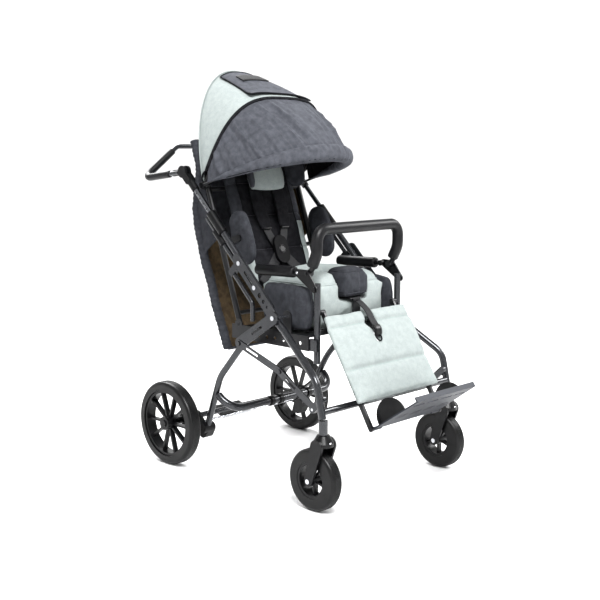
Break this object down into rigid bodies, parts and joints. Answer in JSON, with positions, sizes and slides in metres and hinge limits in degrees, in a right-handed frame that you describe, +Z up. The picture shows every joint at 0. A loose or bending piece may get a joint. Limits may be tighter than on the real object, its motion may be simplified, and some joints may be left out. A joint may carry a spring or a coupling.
{
  "type": "special needs buggy",
  "caption": "Folding special needs buggy with padded seat, harness, bumper bar, leg rest, footplate, canopy and telescopic push handle on spoked wheels and swivelling casters.",
  "frame": {"origin": "on the floor under the middle of the overall box", "axes": "+Z up, -Y to the front of the buggy, +X to the occupant's left"},
  "size_m": [0.653, 1.075, 1.2668],
  "materials": {
    "gunmetal": "satin dark metallic coat",
    "bright_tube": "brushed",
    "steel": "bright zinc",
    "black_plastic": "fine grain moulded",
    "button_plastic": "smooth",
    "black_metal": "black powder coat",
    "tyre": "matt rubber",
    "foam": "closed foam skin",
    "mint_suede": "brushed suede cloth",
    "grey_suede": "brushed suede cloth",
    "webbing": "woven webbing"
  },
  "bodies": {
    "chassis": {"front_legs": "gunmetal", "side_plates": "gunmetal", "main_tubes": "gunmetal", "sleeves": "black_plastic", "frame_bolts": "steel", "front_cross_tube": "gunmetal", "seat_frame": "black_metal", "seat_cushion": "mint_suede", "side_pad_left": "grey_suede", "side_pad_right": "grey_suede", "front_posts": "gunmetal", "arm_brackets": "black_plastic", "abductor_block": "grey_suede", "abductor_arm": "black_metal"},
    "telescope": {"upper_tubes": "bright_tube", "tilt_knuckles": "black_plastic"},
    "handle": {"handle_bar": "gunmetal", "handle_grips": "foam"},
    "backrest": {"back_frame": "black_metal", "back_cushion": "mint_suede", "back_pouch": "grey_suede", "lateral_pads": "grey_suede", "back_fittings": "black_plastic", "harness_straps": "webbing", "harness_buckle": "black_plastic", "canopy_rear": "mint_suede", "canopy_flap": "grey_suede"},
    "button": {"buckle_button": "button_plastic"},
    "headrest": {"headrest_pad": "mint_suede", "headrest_wings": "grey_suede"},
    "canopy_middle": {"canopy_mid_bow": "black_metal", "canopy_front": "grey_suede"},
    "canopy_brim": {"canopy_brim": "grey_suede"},
    "bumper": {"bumper_tube": "black_metal", "bumper_foam": "foam"},
    "arm_left": {"armrest_left": "foam"},
    "arm_right": {"armrest_right": "foam"},
    "leg_rest": {"legrest_frame": "black_metal", "calf_pad": "mint_suede"},
    "foot": {"footplate": "gunmetal", "heel_guards": "gunmetal"},
    "rear_frame": {"fold_plates": "gunmetal", "rear_legs": "gunmetal", "u_tube": "gunmetal", "rear_cross_tube": "gunmetal", "axle_arms": "black_plastic"},
    "stays_upper": {"upper_stays": "gunmetal"},
    "stays_lower": {"lower_stays": "gunmetal"},
    "locks": {"lock_rods": "gunmetal"},
    "brake": {"brake_pedal": "black_plastic"},
    "wheel_left": {"rear_rim_left": "black_plastic", "rear_tyre_left": "tyre"},
    "wheel_right": {"rear_rim_right": "black_plastic", "rear_tyre_right": "tyre"},
    "fork_left": {"caster_fork_left": "black_plastic", "caster_bolts_left": "steel"},
    "fork_right": {"caster_fork_right": "black_plastic", "caster_bolts_right": "steel"},
    "caster_left": {"caster_wheel_left": "tyre"},
    "caster_right": {"caster_wheel_right": "tyre"}
  },
  "joints": [
    {"name": "frame_fold", "type": "hinge", "parent": "chassis", "child": "rear_frame", "pos_m": [0, -0.10106, 0.524], "axis": [1, 0, 0], "range_deg": [-35, 0]},
    {"name": "stay_upper_turn", "type": "hinge", "parent": "rear_frame", "child": "stays_upper", "pos_m": [0, 0.04494, 0.431], "axis": [1, 0, 0], "range_deg": [0, 75.6]},
    {"name": "stay_lower_turn", "type": "hinge", "parent": "chassis", "child": "stays_lower", "pos_m": [0, -0.27606, 0.285], "axis": [1, 0, 0], "range_deg": [-60.58, 0]},
    {"name": "lock_slide", "type": "slide", "parent": "chassis", "child": "locks", "axis": [0, -0.7071, -0.7071], "range_m": [0, 0.062]},
    {"name": "handle_height", "type": "slide", "parent": "chassis", "child": "telescope", "axis": [0, 0.7071, 0.7071], "range_m": [0, 0.09]},
    {"name": "handle_tilt", "type": "hinge", "parent": "telescope", "child": "handle", "pos_m": [0, 0.31755, 0.94261], "axis": [1, 0, 0], "range_deg": [-70, 10]},
    {"name": "back_recline", "type": "hinge", "parent": "chassis", "child": "backrest", "pos_m": [0, 0.11294, 0.474], "axis": [1, 0, 0], "range_deg": [-10, 5]},
    {"name": "headrest_height", "type": "slide", "parent": "backrest", "child": "headrest", "axis": [0, 0.3256, 0.9455], "range_m": [0, 0.05]},
    {"name": "buckle_press", "type": "slide", "parent": "backrest", "child": "button", "axis": [0, 0.9455, -0.3256], "range_m": [0, 0.002], "stiffness_N_per_m": 900},
    {"name": "canopy_middle_turn", "type": "hinge", "parent": "backrest", "child": "canopy_middle", "pos_m": [0, 0.25962, 0.9], "axis": [1, 0, 0], "range_deg": [-32, 0], "deforming": ["canopy_rear", "canopy_flap", "canopy_front"]},
    {"name": "canopy_brim_turn", "type": "hinge", "parent": "backrest", "child": "canopy_brim", "pos_m": [0, 0.25962, 0.9], "axis": [1, 0, 0], "range_deg": [-70, 0], "deforming": ["canopy_front"]},
    {"name": "bumper_swing", "type": "hinge", "parent": "chassis", "child": "bumper", "pos_m": [0, -0.16806, 0.655], "axis": [1, 0, 0], "range_deg": [0, 55]},
    {"name": "arm_left_lift", "type": "hinge", "parent": "chassis", "child": "arm_left", "pos_m": [0, -0.13406, 0.655], "axis": [1, 0, 0], "range_deg": [0, 60]},
    {"name": "arm_right_lift", "type": "hinge", "parent": "chassis", "child": "arm_right", "pos_m": [0, -0.13406, 0.655], "axis": [1, 0, 0], "range_deg": [0, 60]},
    {"name": "leg_raise", "type": "hinge", "parent": "chassis", "child": "leg_rest", "pos_m": [0, -0.20106, 0.541], "axis": [1, 0, 0], "range_deg": [-45, 0]},
    {"name": "foot_flip", "type": "hinge", "parent": "leg_rest", "child": "foot", "pos_m": [0, -0.39059, 0.22556], "axis": [1, 0, 0], "range_deg": [-20, 0]},
    {"name": "brake_press", "type": "hinge", "parent": "rear_frame", "child": "brake", "pos_m": [0, 0.28194, 0.134], "axis": [1, 0, 0], "range_deg": [-18, 0]},
    {"name": "wheel_left_spin", "type": "hinge", "parent": "rear_frame", "child": "wheel_left", "pos_m": [0, 0.34794, 0.135], "axis": [1, 0, 0], "continuous": true},
    {"name": "wheel_right_spin", "type": "hinge", "parent": "rear_frame", "child": "wheel_right", "pos_m": [0, 0.34794, 0.135], "axis": [1, 0, 0], "continuous": true},
    {"name": "caster_left_swivel", "type": "hinge", "parent": "chassis", "child": "fork_left", "pos_m": [0.29, -0.32706, 0.24], "axis": [0, 0, 1], "continuous": true},
    {"name": "caster_left_spin", "type": "hinge", "parent": "fork_left", "child": "caster_left", "pos_m": [0.29, -0.29706, 0.089], "axis": [1, 0, 0], "continuous": true},
    {"name": "caster_right_swivel", "type": "hinge", "parent": "chassis", "child": "fork_right", "pos_m": [-0.29, -0.32706, 0.24], "axis": [0, 0, 1], "continuous": true},
    {"name": "caster_right_spin", "type": "hinge", "parent": "fork_right", "child": "caster_right", "pos_m": [-0.29, -0.29706, 0.089], "axis": [1, 0, 0], "continuous": true}
  ],
  "couplings": [
    {"joint": "stay_upper_turn", "follows": "frame_fold", "ratio": -2.16},
    {"joint": "stay_lower_turn", "follows": "frame_fold", "ratio": 1.7309},
    {"joint": "lock_slide", "follows": "frame_fold", "m_per_rad": -0.1015},
    {"joint": "canopy_middle_turn", "follows": "canopy_brim_turn", "ratio": 0.45714}
  ]
}
